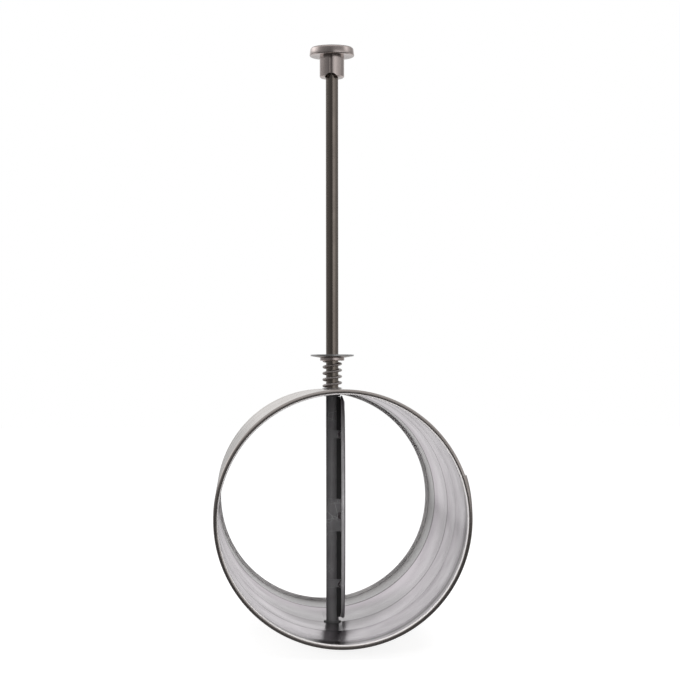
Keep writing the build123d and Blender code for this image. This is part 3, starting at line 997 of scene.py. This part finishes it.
# what metal sees around it: turn from straight in front (+ to the right, degrees) and
# lightness, in a low ring and a high one
BRIGHTEST = 2.0
ROOM_LOW = (
    (-180, 1.0),
    (-150, 0.75),
    (-128, 0.4),
    (-108, 0.3),
    (-50, 0.27),
    (-32, 0.2),
    (-8, 0.17),
    (0, 0.26),
    (13, 0.95),
    (28, 1.25),
    (45, 1.0),
    (70, 0.55),
    (97, 0.38),
    (130, 0.42),
    (155, 1.0),
    (180, 1.0),
)
ROOM_HIGH = (
    (-180, 1.0),
    (-142, 1.2),
    (-125, 2.0),
    (-108, 1.9),
    (-88, 1.1),
    (-72, 0.5),
    (-50, 0.32),
    (-10, 0.22),
    (12, 0.33),
    (42, 0.38),
    (60, 0.52),
    (72, 1.1),
    (82, 1.4),
    (96, 0.9),
    (120, 0.55),
    (142, 0.5),
    (160, 1.0),
)


RING_CHANGE = (10.5, 13.5)  # degrees up, from the low ring to the high one
CEILING_START = (24, 38)  # degrees up
CEILING = (0.85, 0.85, 0.85)
ROOM_LIGHT = (0.5, 0.5, 0.505)  # on dull surfaces
PLAIN_WHITE = (1.0, 1.0, 1.0)


def rise_between(tree, height, angles):
    """How far a direction has risen from one angle above the level to another."""
    return smooth_step(tree, height, *(sin(radians(angle)) for angle in angles))


def room_ramp(tree, share, lights):
    """Grey levels round the room from a list of turns and lightnesses, as shares of the brightest."""
    ramp = add_node(tree, "ShaderNodeValToRGB", inputs={"Fac": share})
    stops = ramp.color_ramp.elements
    stops.remove(stops[1])
    for index, (degree, light) in enumerate(lights):
        position = degree / 360 + 0.5
        stop = stops[0] if index == 0 else stops.new(position)
        stop.position = position
        stop.color = (*[light / BRIGHTEST] * 3, 1)
    scaled = add_node(tree, "ShaderNodeVectorMath", operation="SCALE", inputs={"Scale": BRIGHTEST})
    tree.links.new(ramp.outputs["Color"], scaled.inputs["Vector"])
    return scaled.outputs["Vector"]


def make_world(scene):
    """White to the camera, even light on dull surfaces, and a room with bright and dark parts to metal."""
    world = bpy.data.worlds.new("studio")
    scene.world = world
    world.use_nodes = True
    tree = world.node_tree
    tree.nodes.clear()
    out = tree.nodes.new("ShaderNodeOutputWorld")
    direction = tree.nodes.new("ShaderNodeTexCoord").outputs["Generated"]
    split = add_node(tree, "ShaderNodeSeparateXYZ", inputs={"Vector": direction})
    front = math(tree, "MULTIPLY", split.outputs["Y"], -1.0)
    turn = math(tree, "ARCTAN2", split.outputs["X"], front)
    share = math(tree, "ADD", math(tree, "DIVIDE", turn, FULL_TURN), 0.5)
    higher = rise_between(tree, split.outputs["Z"], RING_CHANGE)
    walls = mix_colours(tree, higher, room_ramp(tree, share, ROOM_LOW), room_ramp(tree, share, ROOM_HIGH))
    room = mix_colours(tree, rise_between(tree, split.outputs["Z"], CEILING_START), walls, CEILING)
    lit = mix_colours(tree, light_path_any(tree, "Is Glossy Ray"), ROOM_LIGHT, room)
    seen = light_path_any(tree, "Is Camera Ray", "Is Transmission Ray")
    colour = mix_colours(tree, seen, lit, PLAIN_WHITE)
    background = add_node(tree, "ShaderNodeBackground", inputs={"Strength": 1.0})
    tree.links.new(colour, background.inputs["Color"])
    tree.links.new(background.outputs["Background"], out.inputs["Surface"])


FLOOR_SIZE = 6.0
FLOOR_GREY = (0.5, 0.5, 0.5, 1)
FLOOR_GLOW = 0.8  # to the camera, over the light that falls on it
# the floor as metal sees it: from where to where it changes, and the levels
NEAR_CHANGE = (-0.2, 0.3, 0.1, 0.95)
FAR_CHANGE = (1.2, 2.0, 0.0, 0.35)


def make_floor(scene):
    """A pale floor that shows white and keeps the shadow, and is dark to metal where it lies in front."""
    mesh = bmesh.new()
    bmesh.ops.create_grid(mesh, x_segments=1, y_segments=1, size=FLOOR_SIZE)
    bmesh.ops.translate(mesh, verts=mesh.verts, vec=UP * (CAD_BOX[0].z - FLOOR_DROP))
    data = bpy.data.meshes.new("floor")
    mesh.to_mesh(data)
    mesh.free()
    floor = bpy.data.objects.new("floor", data)
    scene.collection.objects.link(floor)
    material = bpy.data.materials.new("floor_white")
    material.use_nodes = True
    tree = material.node_tree
    tree.nodes.clear()
    out = tree.nodes.new("ShaderNodeOutputMaterial")
    paint = add_node(tree, "ShaderNodeBsdfDiffuse", inputs={"Color": FLOOR_GREY})
    seen = math(tree, "MULTIPLY", light_path_any(tree, "Is Camera Ray", "Is Transmission Ray"), FLOOR_GLOW)
    glow = add_node(tree, "ShaderNodeEmission", inputs={"Color": (1, 1, 1, 1), "Strength": seen})
    both = tree.nodes.new("ShaderNodeAddShader")
    tree.links.new(paint.outputs["BSDF"], both.inputs[0])
    tree.links.new(glow.outputs["Emission"], both.inputs[1])
    place = tree.nodes.new("ShaderNodeTexCoord").outputs["Object"]
    depth = add_node(tree, "ShaderNodeSeparateXYZ", inputs={"Vector": place}).outputs["Y"]
    behind, farther = (smooth_step(tree, depth, *change) for change in (NEAR_CHANGE, FAR_CHANGE))
    level = math(tree, "SUBTRACT", behind, farther)
    mirrored = add_node(tree, "ShaderNodeEmission", inputs={"Color": (1, 1, 1, 1), "Strength": level})
    chosen = tree.nodes.new("ShaderNodeMixShader")
    tree.links.new(light_path_any(tree, "Is Glossy Ray"), chosen.inputs[0])
    tree.links.new(both.outputs["Shader"], chosen.inputs[1])
    tree.links.new(mirrored.outputs["Emission"], chosen.inputs[2])
    tree.links.new(chosen.outputs["Shader"], out.inputs["Surface"])
    data.materials.append(material)


# lamps: name, place, size and power in watts
LAMPS = (
    ("key_box", (-0.75, -1.6, 0.08), (0.7, 0.7), 34.0),
    ("fill_box", (0.1, -1.8, 0.1), (0.5, 0.5), 16.0),
    ("top_box", (0.0, -0.2, 1.7), (1.4, 1.0), 11.0),
)


def add_softbox(scene, name, place, size, power):
    """A rectangular lamp that looks at the middle of the object."""
    data = bpy.data.lights.new(name, "AREA")
    data.shape = "RECTANGLE"
    data.size, data.size_y = size
    data.energy = power
    lamp = bpy.data.objects.new(name, data)
    scene.collection.objects.link(lamp)
    middle = (CAD_BOX[0] + CAD_BOX[1]) / 2
    lamp.visible_glossy = False
    lamp.location = place
    lamp.rotation_euler = (middle - Vector(place)).to_track_quat("-Z", "Y").to_euler()


class DAMPER_OT_stage(bpy.types.Operator):
    """Make the floor, the studio light and the camera"""

    bl_idname = "damper.stage"
    bl_label = "Stage"

    def execute(self, context):
        scene = context.scene
        scene.view_settings.view_transform = "Standard"
        make_world(scene)
        make_floor(scene)
        for lamp in LAMPS:
            add_softbox(scene, *lamp)
        camera_data = bpy.data.cameras.new("camera")
        camera_data.lens = CAMERA_LENS
        camera_data.sensor_width = CAMERA_SENSOR
        camera_data.clip_end = CAMERA_REACH
        camera = bpy.data.objects.new("camera", camera_data)
        scene.collection.objects.link(camera)
        camera.location = CAMERA_PLACE
        turn = Matrix.Rotation(-CAMERA_YAW, 3, "Z") @ Matrix.Rotation(pi / 2 + CAMERA_PITCH, 3, "X")
        camera.rotation_euler = (turn @ Matrix.Rotation(CAMERA_ROLL, 3, "Z")).to_euler()
        scene.camera = camera
        return {"FINISHED"}


# ================================================================ add-on
class DAMPER_PT_panel(bpy.types.Panel):
    """Lists the damper's pieces and sizes"""

    bl_idname = "DAMPER_PT_panel"
    bl_label = "Volume control damper"
    bl_space_type = "VIEW_3D"
    bl_region_type = "UI"
    bl_category = "Damper"

    def draw(self, context):
        for operator in OPERATORS:
            self.layout.operator(operator.bl_idname)
        for owner, group in SETTINGS.items():
            box = self.layout.box()
            box.label(text=group.__doc__)
            for name in group.__annotations__:
                box.prop(getattr(context.scene, owner), name)


SETTINGS = {
    "damper_sleeve": SleeveSettings,
    "damper_spindle": SpindleSettings,
    "damper_blade": BladeSettings,
}
OPERATORS = (
    DAMPER_OT_sleeve,
    DAMPER_OT_bushes,
    DAMPER_OT_spring,
    DAMPER_OT_spindle,
    DAMPER_OT_spring_stop,
    DAMPER_OT_knob,
    DAMPER_OT_blade,
    DAMPER_OT_saddles,
    DAMPER_OT_stage,
)


def register():
    for group in SETTINGS.values():
        bpy.utils.register_class(group)
    for owner, group in SETTINGS.items():
        setattr(bpy.types.Scene, owner, PointerProperty(type=group))
    for operator in OPERATORS:
        bpy.utils.register_class(operator)
    bpy.utils.register_class(DAMPER_PT_panel)


def unregister():
    bpy.utils.unregister_class(DAMPER_PT_panel)
    for operator in reversed(OPERATORS):
        bpy.utils.unregister_class(operator)
    for owner in SETTINGS:
        delattr(bpy.types.Scene, owner)
    for group in SETTINGS.values():
        bpy.utils.unregister_class(group)


def main():
    register()
    bpy.ops.damper.stage()
    bpy.ops.damper.sleeve()
    bpy.ops.damper.bushes()
    bpy.ops.damper.spring()
    bpy.ops.damper.spindle()
    bpy.ops.damper.spring_stop()
    bpy.ops.damper.knob()
    bpy.ops.damper.blade()
    bpy.ops.damper.saddles()


if __name__ == "__main__":
    main()
